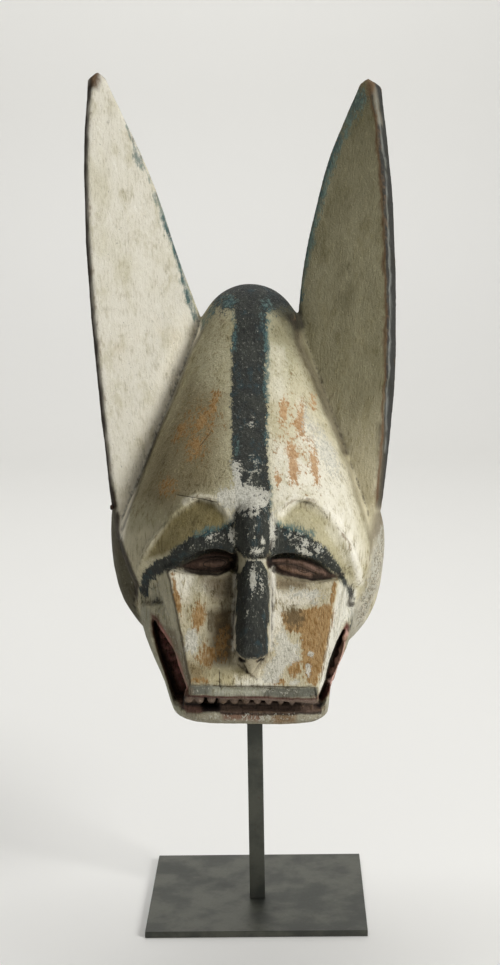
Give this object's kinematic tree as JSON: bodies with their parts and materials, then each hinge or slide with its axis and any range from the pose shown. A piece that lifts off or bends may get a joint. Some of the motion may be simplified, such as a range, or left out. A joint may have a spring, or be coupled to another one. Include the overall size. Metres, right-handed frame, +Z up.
{
  "type": "zoomorphic helmet mask",
  "caption": "Carved and painted wooden helmet mask, an animal head with tall upright ears and a hollow back, held up by a steel post on a square base plate.",
  "frame": {"origin": "centre of the base plate's underside", "axes": "+Z up, +X to the viewer's right and +Y away from the viewer, who faces the muzzle"},
  "size_m": [0.237, 0.2333, 0.6544],
  "materials": {
    "painted_wood": "matte old paint in cream and blue-black, worn through to ochre wood",
    "dark_steel": "dark patinated steel, satin",
    "iron_nail": "rusted iron, matte"
  },
  "bodies": {
    "root": {"helmet_mask": "painted_wood", "temple_nail": "iron_nail", "stand_post": "dark_steel", "stand_base_plate": "dark_steel"}
  },
  "joints": []
}
